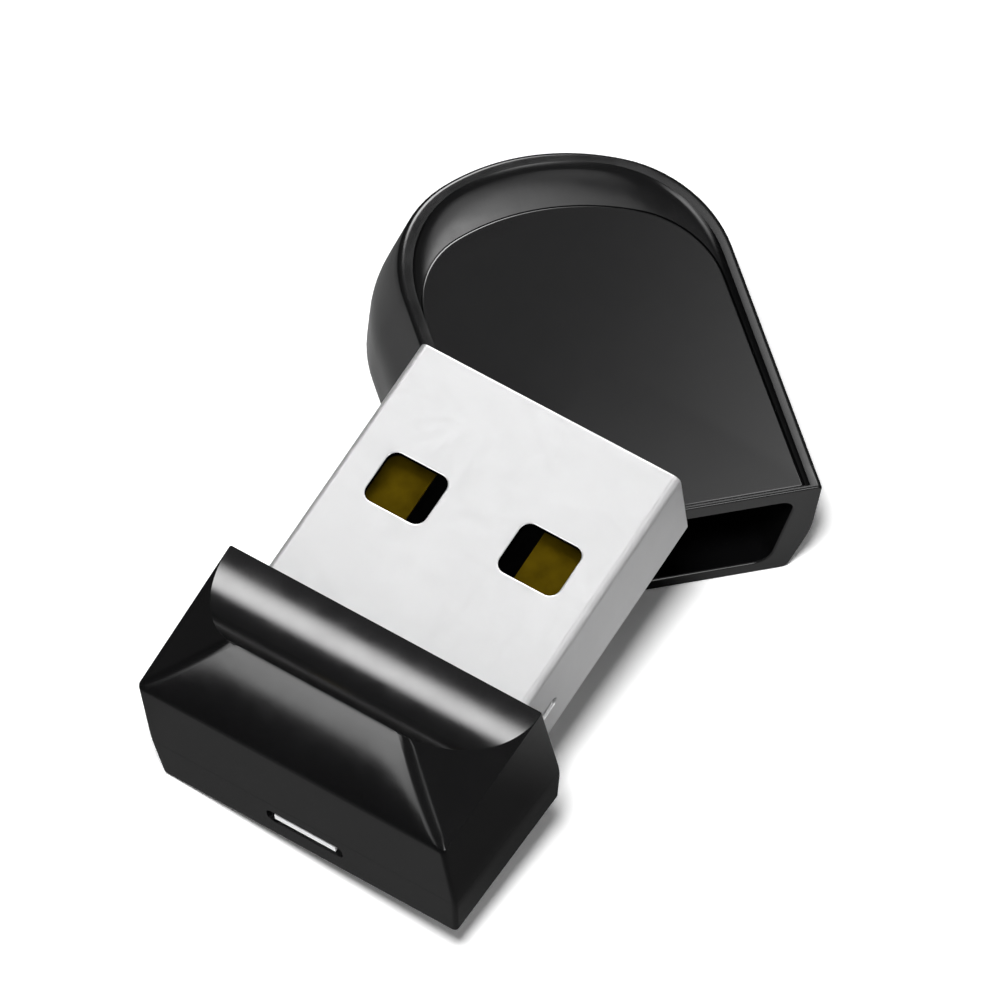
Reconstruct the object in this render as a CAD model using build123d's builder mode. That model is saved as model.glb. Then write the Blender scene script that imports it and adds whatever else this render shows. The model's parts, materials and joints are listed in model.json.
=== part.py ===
from build123d import *
import math
import os

os.makedirs("parts", exist_ok=True)

# A capped USB flash drive, in millimetres, +Z up.
# The cap lies flat on the floor, its mouth towards -Y, with the origin under its middle.
# The drive leans on the cap's left rim: its plug crosses the rim and the rear left bottom
# corner of its body stands on the floor.

# Cap: outline half widths and lengths at three heights, and its socket
CAP_HEIGHT = 6.3
CAP_WAIST_HEIGHT = 2.8
CAP_MOUTH_Y = -8.2
CAP_FLOOR_HALF, CAP_WAIST_HALF, CAP_TOP_HALF = 7.15, 7.5, 7.08
CAP_FLOOR_LENGTH, CAP_WAIST_LENGTH, CAP_TOP_LENGTH = 17.0, 17.4, 17.15
NOSE_RADIUS = 9.8
NOSE_CORNER_RADIUS = 5.2
CAP_EDGE_RADIUS = 0.3
SOCKET_WIDTH, SOCKET_HEIGHT, SOCKET_DEPTH = 12.3, 4.65, 12.6
SOCKET_FLOOR = 0.75
SOCKET_CORNER_RADIUS = 0.7

# Cap's recessed top panel: a D-shaped dish that deepens towards the nose, with an inlay on its floor
RIM_WIDTH = 0.4
PANEL_SIDE_INSET = 0.6
PANEL_NEAR_INSET = 0.3
PANEL_NOSE_INSET = 2.3
PANEL_NOSE_RADIUS = 10.4
PANEL_CORNER_RADIUS = 4.0
PANEL_NEAR_DEPTH = 0.3
PANEL_NOSE_DEPTH = 0.6
PANEL_THICKNESS = 0.2
PANEL_CLEARANCE = 0.03

# Drive body: a block that flares towards the plug, under a hipped roof with a hollow front
BODY_DEPTH = 6.9
BODY_HEIGHT = 7.75
BODY_WAIST_HEIGHT = 2.9
REAR_FLOOR_WIDTH, REAR_WAIST_WIDTH, REAR_TOP_WIDTH = 13.65, 14.15, 14.0
FRONT_FLOOR_WIDTH, FRONT_WAIST_WIDTH, FRONT_TOP_WIDTH = 14.3, 15.1, 14.3
RIDGE_RISE = 2.85
RIDGE_BACK = 2.44
RIDGE_SIDE_INSET = 3.0
WALL = 1.0
SEAM_GAP = 0.02

# Hollow of the body: half width of its pocket, and the space under the roof
POCKET_HALF = 6.1
ATTIC_APEX_BACK = 0.1
ATTIC_APEX_DROP = 1.85
ATTIC_FRONT_RISE = 0.05
ATTIC_SAG_RUN, ATTIC_SAG_DROP = 1.6, 1.35

# Posts that carry the board from below, and ribs that press it from above
POST_SIZE = 0.8
POST_X = 4.7
POST_Y = (1.7, 2.6)
RIB_RISE = 1.1

# Indicator slot in the rear face
SLOT_WIDTH, SLOT_HEIGHT, SLOT_DEPTH = 3.4, 0.8, 0.45
SLOT_LEVEL = 1.75
GUIDE_WIDTH, GUIDE_HEIGHT = 2.8, 0.35
GUIDE_LEG_DEPTH = 0.5
GUIDE_LEG_GAP = 0.3
GUIDE_RECESS = 0.03
LED_WIDTH, LED_LENGTH, LED_HEIGHT = 1.6, 0.8, 0.55
LED_REAR = 1.45
LED_CHAMFER = 0.1

# Plug: a standard type A shell
PLUG_WIDTH, PLUG_HEIGHT = 12.0, 4.5
PLUG_SHEET = 0.3
PLUG_CORNER_RADIUS = 0.55
PLUG_TIP = 18.65
PLUG_LEVEL = 3.95
PLUG_REAR = 4.6
PLUG_SEAM = 0.08
WINDOW_LENGTH, WINDOW_WIDTH = 2.35, 2.75
WINDOW_SETBACK = 5.7
WINDOW_SPACING = 6.16
WINDOW_RADIUS = 0.45
LEG_LENGTH, LEG_HEIGHT = 1.0, 2.4
PLUG_FIT = 0.06

# Board inside the plug and the body
BOARD_THICKNESS = 1.6
BOARD_WIDTH = 10.8
BOARD_REAR = 1.35
BOARD_TIP_SETBACK = 0.55
BOARD_TOP_GAP = 0.2
BOARD_CHAMFER = 0.3
CARRIER_SETBACK = 0.4
COPPER = 0.08
CONTACT_WIDTH, CONTACT_THICKNESS = 1.0, 0.12
CONTACT_CHAMFER = 0.05
CONTACT_PITCH_INNER, CONTACT_PITCH_OUTER = 2.0, 7.0
CONTACT_REAR = 9.5
CONTACT_LONG_TIP, CONTACT_SHORT_TIP = 17.4, 16.4
STRIP_INNER, STRIP_OUTER = 2.5, 5.1
STRIP_REAR, STRIP_TIP = 9.5, 17.0
FIT = 0.04

# Chips: span across, span along the board, height and corner notch
MEMORY_CHIP = ((-4.2, 4.2), (2.8, 5.9), 1.0, 0.1)
CONTROLLER_CHIP = ((-4.0, -0.4), (1.5, 4.4), 0.7, 0.1)
CRYSTAL_CAN = ((0.2, 2.2), (3.2, 4.4), 0.6, 0.3)

# Small surface parts: size, and the middle and rear ends of each row
SMALL_WIDTH, SMALL_LENGTH, SMALL_HEIGHT = 0.8, 0.45, 0.4
CAPACITOR_ROW = (1.2, (1.45, 2.0, 2.55))
RESISTOR_ROW = (3.2, (1.45, 2.2, 2.95, 3.7))

# How the drive leans: tilt is the roll about the cap's long axis, swing the turn away from it
TILT = math.radians(18.05)
SWING = math.radians(49.9)
REST_Y = -9.5
RIM_GAP = 0.08

PLUG_UNDERSIDE = PLUG_LEVEL - PLUG_HEIGHT / 2
BOARD_TOP = PLUG_LEVEL + PLUG_HEIGHT / 2 - PLUG_SHEET - BOARD_TOP_GAP
BOARD_BOTTOM = BOARD_TOP - BOARD_THICKNESS
BOARD_TIP = PLUG_TIP - BOARD_TIP_SETBACK

# The drive's own axes in the frame; it stands on its lowest corner with its plug just off the rim
plug_dir = Vector(math.sin(SWING) * math.cos(TILT), math.cos(SWING), math.sin(SWING) * math.sin(TILT))
lift_dir = Vector(-math.sin(TILT), 0, math.cos(TILT))
across_dir = plug_dir.cross(lift_dir)
rest_z = REAR_FLOOR_WIDTH / 2 * across_dir.Z
rim_reach = ((CAP_HEIGHT + RIM_GAP - rest_z) * math.cos(TILT) - PLUG_UNDERSIDE) / math.sin(TILT)
rest_x = CAP_EDGE_RADIUS - CAP_TOP_HALF - rim_reach
drive_plane = Plane(origin=(rest_x, REST_Y + CAP_MOUTH_Y, rest_z), x_dir=across_dir, z_dir=lift_dir)
rearwards = -drive_plane.y_dir
lift_axis = Axis(drive_plane.origin, drive_plane.z_dir)


def level(height):
    """Plane parallel to the drive's underside, at this height above it."""
    return drive_plane.offset(height)


def cross_section(distance):
    """Plane across the drive, this far forward of its rear face, drawn across and up."""
    origin = drive_plane.from_local_coords(Vector(0, distance, 0))
    return Plane(origin=origin, x_dir=drive_plane.x_dir, z_dir=-drive_plane.y_dir)


def side_section(distance=0.0):
    """Plane along the drive, this far to its right, drawn forward and up."""
    origin = drive_plane.from_local_coords(Vector(distance, 0, 0))
    return Plane(origin=origin, x_dir=drive_plane.y_dir, z_dir=drive_plane.x_dir)


def drive_block(x_span, y_span, z_span):
    """Box given by its extents along the drive's own axes."""
    with BuildPart() as block:
        with BuildSketch(level(z_span[0])):
            with Locations((sum(x_span) / 2, sum(y_span) / 2)):
                Rectangle(x_span[1] - x_span[0], y_span[1] - y_span[0])
        extrude(amount=z_span[1] - z_span[0])
    return block.part


def save(piece, label):
    """Label a finished piece and write it as its own node."""
    piece.part.label = label
    export_step(piece.part, f"parts/{label}.step")


# Body form

def body_outline(height, rear_width, front_width):
    """Plan of the block at one height, wider at the plug end."""
    with BuildSketch(level(height)) as outline:
        with BuildLine():
            Polyline(
                (-rear_width / 2, 0),
                (rear_width / 2, 0),
                (front_width / 2, BODY_DEPTH),
                (-front_width / 2, BODY_DEPTH),
                close=True,
            )
        make_face()
    return outline.sketch


def hip_plane(side, inset=0.0):
    """Plane of a side hip of the roof, facing inwards, moved inwards by the inset."""
    eave_rear = drive_plane.from_local_coords(Vector(side * REAR_TOP_WIDTH / 2, 0, BODY_HEIGHT))
    eave_front = drive_plane.from_local_coords(Vector(side * FRONT_TOP_WIDTH / 2, BODY_DEPTH, BODY_HEIGHT))
    ridge_end = drive_plane.from_local_coords(
        Vector(side * (REAR_TOP_WIDTH / 2 - RIDGE_SIDE_INSET), RIDGE_BACK, BODY_HEIGHT + RIDGE_RISE)
    )
    along = eave_front - eave_rear
    inward = along.cross(ridge_end - eave_rear) * -side
    return Plane(origin=eave_rear, x_dir=along, z_dir=inward).offset(inset)


SCOOP_RUN = BODY_DEPTH - RIDGE_BACK
SCOOP_RADIUS = (SCOOP_RUN**2 + RIDGE_RISE**2) / (2 * RIDGE_RISE)
SCOOP_HALF_ANGLE = math.atan2(RIDGE_RISE, SCOOP_RUN)
scoop_middle = (
    BODY_DEPTH - SCOOP_RADIUS * math.sin(SCOOP_HALF_ANGLE),
    BODY_HEIGHT + SCOOP_RADIUS * (1 - math.cos(SCOOP_HALF_ANGLE)),
)

with BuildPart() as body_block:
    for section in (
        body_outline(0, REAR_FLOOR_WIDTH, FRONT_FLOOR_WIDTH),
        body_outline(BODY_WAIST_HEIGHT, REAR_WAIST_WIDTH, FRONT_WAIST_WIDTH),
        body_outline(BODY_HEIGHT, REAR_TOP_WIDTH, FRONT_TOP_WIDTH),
    ):
        add(section)
    loft(ruled=True)

with BuildPart() as body_roof:
    with BuildSketch(side_section()):
        with BuildLine():
            Polyline((BODY_DEPTH, BODY_HEIGHT), (0, BODY_HEIGHT), (RIDGE_BACK, BODY_HEIGHT + RIDGE_RISE))
            ThreePointArc((RIDGE_BACK, BODY_HEIGHT + RIDGE_RISE), scoop_middle, (BODY_DEPTH, BODY_HEIGHT))
        make_face()
    extrude(amount=FRONT_TOP_WIDTH, both=True)
    for side in (-1, 1):
        split(bisect_by=hip_plane(side), keep=Keep.TOP)

with BuildPart() as body_form:
    add(body_block.part)
    add(body_roof.part)


# Hollow of the body: the block's pocket, and the space under the roof one wall inside it
POCKET_TOP = BODY_HEIGHT - WALL
REAR_SLOPE = RIDGE_RISE / RIDGE_BACK
INNER_REAR_TOP = BODY_HEIGHT - WALL * math.hypot(1, REAR_SLOPE) + REAR_SLOPE * WALL
ATTIC_APEX = (RIDGE_BACK - ATTIC_APEX_BACK, BODY_HEIGHT + RIDGE_RISE - ATTIC_APEX_DROP)
ATTIC_FRONT = (BODY_DEPTH - WALL, POCKET_TOP + ATTIC_FRONT_RISE)
ATTIC_SAG = (ATTIC_APEX[0] + ATTIC_SAG_RUN, ATTIC_APEX[1] - ATTIC_SAG_DROP)

with BuildPart() as attic:
    with BuildSketch(side_section()):
        with BuildLine():
            Polyline(
                ATTIC_FRONT,
                (BODY_DEPTH - WALL, POCKET_TOP - WALL),
                (WALL, POCKET_TOP - WALL),
                (WALL, INNER_REAR_TOP),
                ATTIC_APEX,
            )
            ThreePointArc(ATTIC_APEX, ATTIC_SAG, ATTIC_FRONT)
        make_face()
    extrude(amount=POCKET_HALF, both=True)
    for side in (-1, 1):
        split(bisect_by=hip_plane(side, WALL), keep=Keep.TOP)

pocket = drive_block((-POCKET_HALF, POCKET_HALF), (WALL, BODY_DEPTH - WALL), (WALL, POCKET_TOP - WALL / 2))


def plug_outline(distance, grow=0.0):
    """Rounded outline of the plug's shell, grown by a clearance or shrunk by its sheet."""
    with BuildSketch(cross_section(distance)) as outline:
        with Locations((0, PLUG_LEVEL)):
            RectangleRounded(
                PLUG_WIDTH + 2 * grow, PLUG_HEIGHT + 2 * grow, PLUG_CORNER_RADIUS + grow
            )
    return outline.sketch


with BuildPart() as body_shells:
    add(body_form.part)
    add(pocket, mode=Mode.SUBTRACT)
    add(attic.part, mode=Mode.SUBTRACT)
    add(plug_outline(BODY_DEPTH + WALL, PLUG_FIT))
    extrude(amount=3 * WALL, dir=rearwards, mode=Mode.SUBTRACT)

slot_z = (SLOT_LEVEL - SLOT_HEIGHT / 2, SLOT_LEVEL + SLOT_HEIGHT / 2)
guide_z = (SLOT_LEVEL - GUIDE_HEIGHT / 2, SLOT_LEVEL + GUIDE_HEIGHT / 2)
slot = drive_block((-SLOT_WIDTH / 2, SLOT_WIDTH / 2), (-WALL, SLOT_DEPTH), slot_z)
guide_hole = drive_block(
    (-GUIDE_WIDTH / 2 - FIT, GUIDE_WIDTH / 2 + FIT),
    (-WALL, 2 * WALL),
    (guide_z[0] - FIT, guide_z[1] + FIT),
)

# Lower half with the board's two posts, and upper half with the two ribs above them
with BuildPart() as housing_lower:
    add(body_shells.part)
    split(bisect_by=level(BODY_WAIST_HEIGHT), keep=Keep.BOTTOM)
    add(slot, mode=Mode.SUBTRACT)
    add(guide_hole, mode=Mode.SUBTRACT)
    for side in (-1, 1):
        post_x = (side * POST_X - POST_SIZE / 2, side * POST_X + POST_SIZE / 2)
        add(drive_block(post_x, POST_Y, (WALL / 2, BOARD_BOTTOM - FIT)))
save(housing_lower, "housing_lower")

with BuildPart() as housing_upper:
    add(body_shells.part)
    split(bisect_by=level(BODY_WAIST_HEIGHT + SEAM_GAP), keep=Keep.TOP)
    for side in (-1, 1):
        rib_x = (side * POST_X - POST_SIZE / 2, side * POST_X + POST_SIZE / 2)
        add(drive_block(rib_x, POST_Y, (BOARD_TOP + FIT, BODY_HEIGHT + RIB_RISE)))
save(housing_upper, "housing_upper")

# Light guide: a flat bar through the slot, with a leg that rises to the indicator on the board
led_x = (-LED_WIDTH / 2, LED_WIDTH / 2)
led_z = (BOARD_BOTTOM - FIT / 2 - LED_HEIGHT, BOARD_BOTTOM - FIT / 2)
guide_leg_y = (WALL + GUIDE_LEG_GAP, WALL + GUIDE_LEG_GAP + GUIDE_LEG_DEPTH)

with BuildPart() as light_guide:
    add(drive_block((-GUIDE_WIDTH / 2, GUIDE_WIDTH / 2), (GUIDE_RECESS, guide_leg_y[1]), guide_z))
    add(drive_block(led_x, guide_leg_y, (guide_z[0], led_z[0] - FIT)))
save(light_guide, "light_guide")

with BuildPart() as status_led:
    add(drive_block(led_x, (LED_REAR, LED_REAR + LED_LENGTH), led_z))
    chamfer(status_led.edges().group_by(SortBy.LENGTH)[0], length=LED_CHAMFER)
save(status_led, "status_led")

# Plug shell: folded sheet with a butt seam underneath, four latch windows and two board legs
WINDOW_Y = PLUG_TIP - WINDOW_SETBACK

with BuildPart() as plug_shell:
    add(plug_outline(PLUG_TIP))
    extrude(amount=PLUG_TIP - PLUG_REAR, dir=rearwards)
    add(plug_outline(PLUG_TIP, -PLUG_SHEET))
    extrude(amount=PLUG_TIP - PLUG_REAR, dir=rearwards, mode=Mode.SUBTRACT)
    with BuildSketch(level(PLUG_UNDERSIDE)):
        with Locations((-WINDOW_SPACING / 2, WINDOW_Y), (WINDOW_SPACING / 2, WINDOW_Y)):
            RectangleRounded(WINDOW_WIDTH, WINDOW_LENGTH, WINDOW_RADIUS)
    extrude(amount=PLUG_HEIGHT, mode=Mode.SUBTRACT)
    seam = drive_block(
        (-PLUG_SEAM / 2, PLUG_SEAM / 2),
        (PLUG_REAR, PLUG_TIP),
        (PLUG_UNDERSIDE - FIT, PLUG_UNDERSIDE + PLUG_SHEET + FIT),
    )
    add(seam, mode=Mode.SUBTRACT)
    for side in (-1, 1):
        leg_x = sorted((side * PLUG_WIDTH / 2, side * (PLUG_WIDTH / 2 - PLUG_SHEET)))
        leg_z = (PLUG_LEVEL - LEG_HEIGHT / 2, PLUG_LEVEL + LEG_HEIGHT / 2)
        add(drive_block(leg_x, (PLUG_REAR - LEG_LENGTH, PLUG_REAR), leg_z))
save(plug_shell, "plug_shell")

# Board: one long board that fills the plug's upper half and ends in the body
board_z = (BOARD_BOTTOM, BOARD_TOP)
with BuildPart() as circuit_board:
    add(drive_block((-BOARD_WIDTH / 2, BOARD_WIDTH / 2), (BOARD_REAR, BOARD_TIP), board_z))
    chamfer(circuit_board.edges().filter_by(lift_axis), length=BOARD_CHAMFER)
save(circuit_board, "circuit_board")

# Carrier: plastic rails along the board and a bar across its tip, which centre it in the shell
inner_half = PLUG_WIDTH / 2 - PLUG_SHEET - FIT
carrier_z = (BOARD_BOTTOM + FIT, BOARD_TOP - 3 * FIT)
carrier_y = (PLUG_REAR + CARRIER_SETBACK, PLUG_TIP - PLUG_SHEET / 2)
with BuildPart() as board_carrier:
    add(drive_block((-inner_half, inner_half), carrier_y, carrier_z))
    board_slot_x = (-BOARD_WIDTH / 2 - FIT, BOARD_WIDTH / 2 + FIT)
    board_slot = drive_block(board_slot_x, (0, BOARD_TIP + FIT), (0, BODY_HEIGHT))
    add(board_slot, mode=Mode.SUBTRACT)
save(board_carrier, "board_carrier")

# Gold strips on the board's top, seen through the upper windows
for name, side in (("left", -1), ("right", 1)):
    strip_x = sorted((side * STRIP_INNER, side * STRIP_OUTER))
    with BuildPart() as ground_strip:
        add(drive_block(strip_x, (STRIP_REAR, STRIP_TIP), (BOARD_TOP, BOARD_TOP + COPPER)))
    save(ground_strip, f"ground_strip_{name}")

# Four gold contacts under the board: the outer two reach further, so that power mates first
contacts = {
    "contact_vbus": (CONTACT_PITCH_OUTER / 2, CONTACT_LONG_TIP),
    "contact_data_minus": (CONTACT_PITCH_INNER / 2, CONTACT_SHORT_TIP),
    "contact_data_plus": (-CONTACT_PITCH_INNER / 2, CONTACT_SHORT_TIP),
    "contact_ground": (-CONTACT_PITCH_OUTER / 2, CONTACT_LONG_TIP),
}
for name, (middle, tip) in contacts.items():
    contact_x = (middle - CONTACT_WIDTH / 2, middle + CONTACT_WIDTH / 2)
    contact_z = (BOARD_BOTTOM - CONTACT_THICKNESS, BOARD_BOTTOM)
    with BuildPart() as contact:
        add(drive_block(contact_x, (CONTACT_REAR, tip), contact_z))
        chamfer(contact.edges().group_by(SortBy.LENGTH)[0], length=CONTACT_CHAMFER)
    save(contact, name)

# Chips in the body: memory under the board, the controller and its crystal on top
under_z = BOARD_BOTTOM - FIT / 2
over_z = BOARD_TOP + FIT / 2


def chip(span_x, span_y, height, notch, foot):
    """Moulded chip body standing on its foot level, with its corners broken."""
    with BuildPart() as body:
        add(drive_block(span_x, span_y, (foot, foot + height)))
        chamfer(body.edges().filter_by(lift_axis), length=notch)
    return body


save(chip(*MEMORY_CHIP, under_z - MEMORY_CHIP[2]), "memory_chip")
save(chip(*CONTROLLER_CHIP, over_z), "controller_chip")
save(chip(*CRYSTAL_CAN, over_z), "crystal")


def small_parts(middle, rears):
    """Row of small surface parts, one behind the other along the board."""
    span_x = (middle - SMALL_WIDTH / 2, middle + SMALL_WIDTH / 2)
    with BuildPart() as row:
        for rear in rears:
            add(drive_block(span_x, (rear, rear + SMALL_LENGTH), (over_z, over_z + SMALL_HEIGHT)))
    return row


save(small_parts(*CAPACITOR_ROW), "capacitors")
save(small_parts(*RESISTOR_ROW), "resistors")


# Cap

def cap_outline(plane, half_width, length, near_gap=0.0, nose_r=NOSE_RADIUS, corner_r=NOSE_CORNER_RADIUS):
    """D-shaped plan: parallel sides, a wide nose arc and tangent corner arcs."""
    mouth = CAP_MOUTH_Y + near_gap
    nose = CAP_MOUTH_Y + length
    nose_center = nose - nose_r
    corner_x = half_width - corner_r
    radius_step = nose_r - corner_r
    corner_y = nose_center + math.sqrt(radius_step**2 - corner_x**2)
    # the arcs meet on the line through both their centres
    meet_x = corner_x * nose_r / radius_step
    meet_y = nose_center + (corner_y - nose_center) * nose_r / radius_step
    half_turn = math.atan2(meet_y - corner_y, meet_x - corner_x) / 2
    bulge_x = corner_x + corner_r * math.cos(half_turn)
    bulge_y = corner_y + corner_r * math.sin(half_turn)
    with BuildSketch(plane) as outline:
        with BuildLine():
            Line((-half_width, mouth), (half_width, mouth))
            Line((half_width, mouth), (half_width, corner_y))
            ThreePointArc((half_width, corner_y), (bulge_x, bulge_y), (meet_x, meet_y))
            ThreePointArc((meet_x, meet_y), (0, nose), (-meet_x, meet_y))
            ThreePointArc((-meet_x, meet_y), (-bulge_x, bulge_y), (-half_width, corner_y))
            Line((-half_width, corner_y), (-half_width, mouth))
        make_face()
    return outline.sketch


dish_run = CAP_TOP_LENGTH - PANEL_NEAR_INSET - PANEL_NOSE_INSET
dish_slope = math.atan((PANEL_NOSE_DEPTH - PANEL_NEAR_DEPTH) / dish_run)
dish_down = Vector(0, math.cos(dish_slope), -math.sin(dish_slope))
dish_floor = Plane(
    origin=Vector(0, CAP_MOUTH_Y, CAP_HEIGHT - PANEL_NEAR_DEPTH) - dish_down * CAP_MOUTH_Y,
    x_dir=(1, 0, 0),
    z_dir=(0, math.sin(dish_slope), math.cos(dish_slope)),
)

with BuildPart() as cap_shell:
    for section in (
        cap_outline(Plane.XY, CAP_FLOOR_HALF, CAP_FLOOR_LENGTH),
        cap_outline(Plane.XY.offset(CAP_WAIST_HEIGHT), CAP_WAIST_HALF, CAP_WAIST_LENGTH),
        cap_outline(Plane.XY.offset(CAP_HEIGHT), CAP_TOP_HALF, CAP_TOP_LENGTH),
    ):
        add(section)
    loft(ruled=True)
    # dish: its wall leans out from the floor to the rim
    add(
        cap_outline(
            dish_floor,
            CAP_TOP_HALF - PANEL_SIDE_INSET,
            CAP_TOP_LENGTH - PANEL_NOSE_INSET,
            PANEL_NEAR_INSET,
            PANEL_NOSE_RADIUS,
            PANEL_CORNER_RADIUS,
        )
    )
    add(
        cap_outline(
            Plane.XY.offset(CAP_HEIGHT),
            CAP_TOP_HALF - RIM_WIDTH,
            CAP_TOP_LENGTH - RIM_WIDTH,
            PANEL_NEAR_INSET / 2,
        )
    )
    loft(ruled=True, mode=Mode.SUBTRACT)
    # rounded outer edge of the rim
    rim_edges = cap_shell.faces().sort_by(Axis.Z)[-1].outer_wire().edges()
    fillet(rim_edges.sort_by(Axis.Y)[1:], radius=CAP_EDGE_RADIUS)
    # socket for the plug, open at the mouth
    socket_middle = SOCKET_FLOOR + SOCKET_HEIGHT / 2
    with BuildSketch(Plane.XZ.offset(-CAP_MOUTH_Y)):
        with Locations((0, socket_middle)):
            RectangleRounded(SOCKET_WIDTH, SOCKET_HEIGHT, SOCKET_CORNER_RADIUS)
    extrude(amount=-SOCKET_DEPTH, mode=Mode.SUBTRACT)
save(cap_shell, "cap_shell")

with BuildPart() as cap_panel:
    add(
        cap_outline(
            dish_floor,
            CAP_TOP_HALF - PANEL_SIDE_INSET - PANEL_CLEARANCE,
            CAP_TOP_LENGTH - PANEL_NOSE_INSET - PANEL_CLEARANCE,
            PANEL_NEAR_INSET + PANEL_CLEARANCE,
            PANEL_NOSE_RADIUS,
            PANEL_CORNER_RADIUS,
        )
    )
    extrude(amount=PANEL_THICKNESS)
save(cap_panel, "cap_panel")
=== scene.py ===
import json
import math

import bmesh
import bpy
from mathutils import Matrix, Vector


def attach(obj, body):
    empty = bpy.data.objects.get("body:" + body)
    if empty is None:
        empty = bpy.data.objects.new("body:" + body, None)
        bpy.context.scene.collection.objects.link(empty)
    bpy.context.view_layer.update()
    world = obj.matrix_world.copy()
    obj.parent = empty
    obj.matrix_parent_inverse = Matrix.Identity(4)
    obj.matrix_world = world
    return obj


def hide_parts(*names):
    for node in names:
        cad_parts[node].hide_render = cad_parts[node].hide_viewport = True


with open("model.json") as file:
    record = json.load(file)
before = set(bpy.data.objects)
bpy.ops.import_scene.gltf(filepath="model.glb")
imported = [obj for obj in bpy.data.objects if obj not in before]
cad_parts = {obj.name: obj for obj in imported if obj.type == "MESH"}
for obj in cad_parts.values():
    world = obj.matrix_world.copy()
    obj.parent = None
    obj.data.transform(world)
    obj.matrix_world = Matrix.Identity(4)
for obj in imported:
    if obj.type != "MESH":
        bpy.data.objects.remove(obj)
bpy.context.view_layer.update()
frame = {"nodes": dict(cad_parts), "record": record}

# Lengths are in millimetres until a piece is placed, and MM turns them into metres.
MM = 0.001

# Clearance of a cutter outside its piece, reach of a touch, and distance at which vertices join
CLEAR = 0.5
NEAR = 0.01
WELD = 0.0005

# Drive body and roof, in the drive's own axes: across, towards the plug tip, up.
# Half widths are at the foot, at the waist and at the top.
BODY_DEPTH = 6.9
BODY_HEIGHT = 7.75
WAIST_HEIGHT = 2.9
REAR_HALF_WIDTHS = (6.825, 7.075, 7.0)
FRONT_HALF_WIDTHS = (7.15, 7.55, 7.15)
RIDGE_RISE = 2.85
RIDGE_BACK = 2.44
RIDGE_SIDE_INSET = 3.0
HOUSING_SEAM = 0.012
SIDE_LEVELS = 12
WAIST_EASE = 0.7
SCOOP_STEPS = 20
HIP_ROUND = 0.3
CORNER_ROUND = 0.2
FRONT_ROUND = 0.08
RIDGE_ROUND = 0.06
ROUND_SEGMENTS = 4
ROOF_CROWN = 0.16
ROOF_STEPS = 8
ROOF_COLUMNS = 24

# Indicator slot and the hole behind it for the light guide: width, height, depth
SLOT = (3.5, 0.9, 0.45)
SLOT_CORNER = 0.3
SLOT_LEVEL = 1.75
GUIDE_HOLE = (2.88, 0.43, 2.0)
GUIDE_HOLE_CORNER = 0.08

# Plug shell, with its latch windows across and along, and the pressed slot on each side up and along
PLUG_WIDTH, PLUG_HEIGHT = 12.0, 4.5
PLUG_SHEET = 0.3
PLUG_CORNER = 0.34
PLUG_TIP = 18.65
PLUG_REAR = 4.6
PLUG_LEVEL = 3.95
WINDOW = (2.75, 2.35)
WINDOW_X = 3.08
WINDOW_Y = PLUG_TIP - 5.7
WINDOW_CORNER = 0.45
PLUG_FIT = 0.07
PLUG_BURIED = 1.2
TAB_SLOT = (0.5, 4.4)
TAB_DEPTH = 0.14
TAB_LEVEL = 3.65
BUTT_SEAM = 0.08
SHEET_ROUND = 0.07

# Cap, in its own axes from the middle of its mouth: half widths and lengths at foot, waist and top,
# arcs as the radii of the nose and of the corners beside it, and the socket's width, height and depth
CAP_HEIGHT = 6.3
CAP_WAIST = 2.8
CAP_MOUTH_Y = -8.2
CAP_HALF_WIDTHS = (7.15, 7.5, 7.08)
CAP_LENGTHS = (17.0, 17.4, 17.15)
CAP_ARCS = (9.8, 5.2)
PANEL_ARCS = (10.4, 4.0)
FLOOR_ROUND = 0.3
SHOULDER_ROUND = 0.22
RIM_INSET = 0.5
PANEL_SIDE_INSET = 0.62
PANEL_NOSE_INSET = 2.3
PANEL_NEAR_INSET = 0.3
PANEL_NEAR_DEPTH = 0.2
PANEL_NOSE_DEPTH = 0.5
PANEL_GAP = 0.035
PANEL_THICKNESS = 0.19
PANEL_FALL = 0.12
PANEL_RINGS = 12
COVE_FOOT = 0.45
SOCKET = (12.3, 4.65, 12.6)
SOCKET_FLOOR = 0.75
SOCKET_CORNER = 0.7
MOUTH_ROUND = 0.1

# Steps of the cap's outline on its side, corner and nose, and of its section from foot to cove
PLAN_STEPS = (10, 14, 12)
FOOT_STEPS, WALL_STEPS, SHOULDER_STEPS, COVE_STEPS = 4, 14, 6, 12

# The inlay's broken edge, inset and drop, and how far the fall of its face reaches past the middle
PANEL_EDGE = ((0.0, 0.05), (0.015, 0.012), (0.04, 0.0), (0.07, 0.0))
FALL_REACH = 0.6

# Camera: what it looks at, its direction and roll, and the width it sees there, in metres
TARGET = Vector((-5.423, -5.428, 4.475)) * MM
ELEVATION = math.radians(56.25)
AZIMUTH = math.radians(-37.29)
ROLL = math.radians(22.83)
CAMERA_DISTANCE = 0.4
FRAME_WIDTH = 39.58 * MM
SENSOR = 36.0

# Square lights: direction from the object, distance and side in metres, watts
LIGHTS = {
    "key": ((-0.39, -0.27, 1.0), 0.5, 0.09, 2.5),
    "fill": ((-0.75, -0.6, 0.28), 0.5, 0.2, 0.5),
}
# What the gloss sees: direction, outer and inner half angles in degrees, brightness
SOFTBOXES = (
    ((0, 0, 1), 180, 0, 0.17),
    ((-0.30, 0.40, 0.87), 30, 14, 0.18),
    ((0.12, 0.81, 0.58), 18.5, 0, 15.0),
    ((-0.95, -0.25, 0.24), 30, 2, 4.5),
    ((0.34, -0.83, 0.44), 18, 4, 6.0),
    ((0.55, 0.12, 0.83), 17, 4, 1.5),
    ((0.38, 0.2, 0.9), 11, 1, 1.8),
    ((0.24, -0.1, 0.95), 10, 3, 1.0),
    ((0.50, 0.33, 0.80), 12, 1, 5.0),
)
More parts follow.
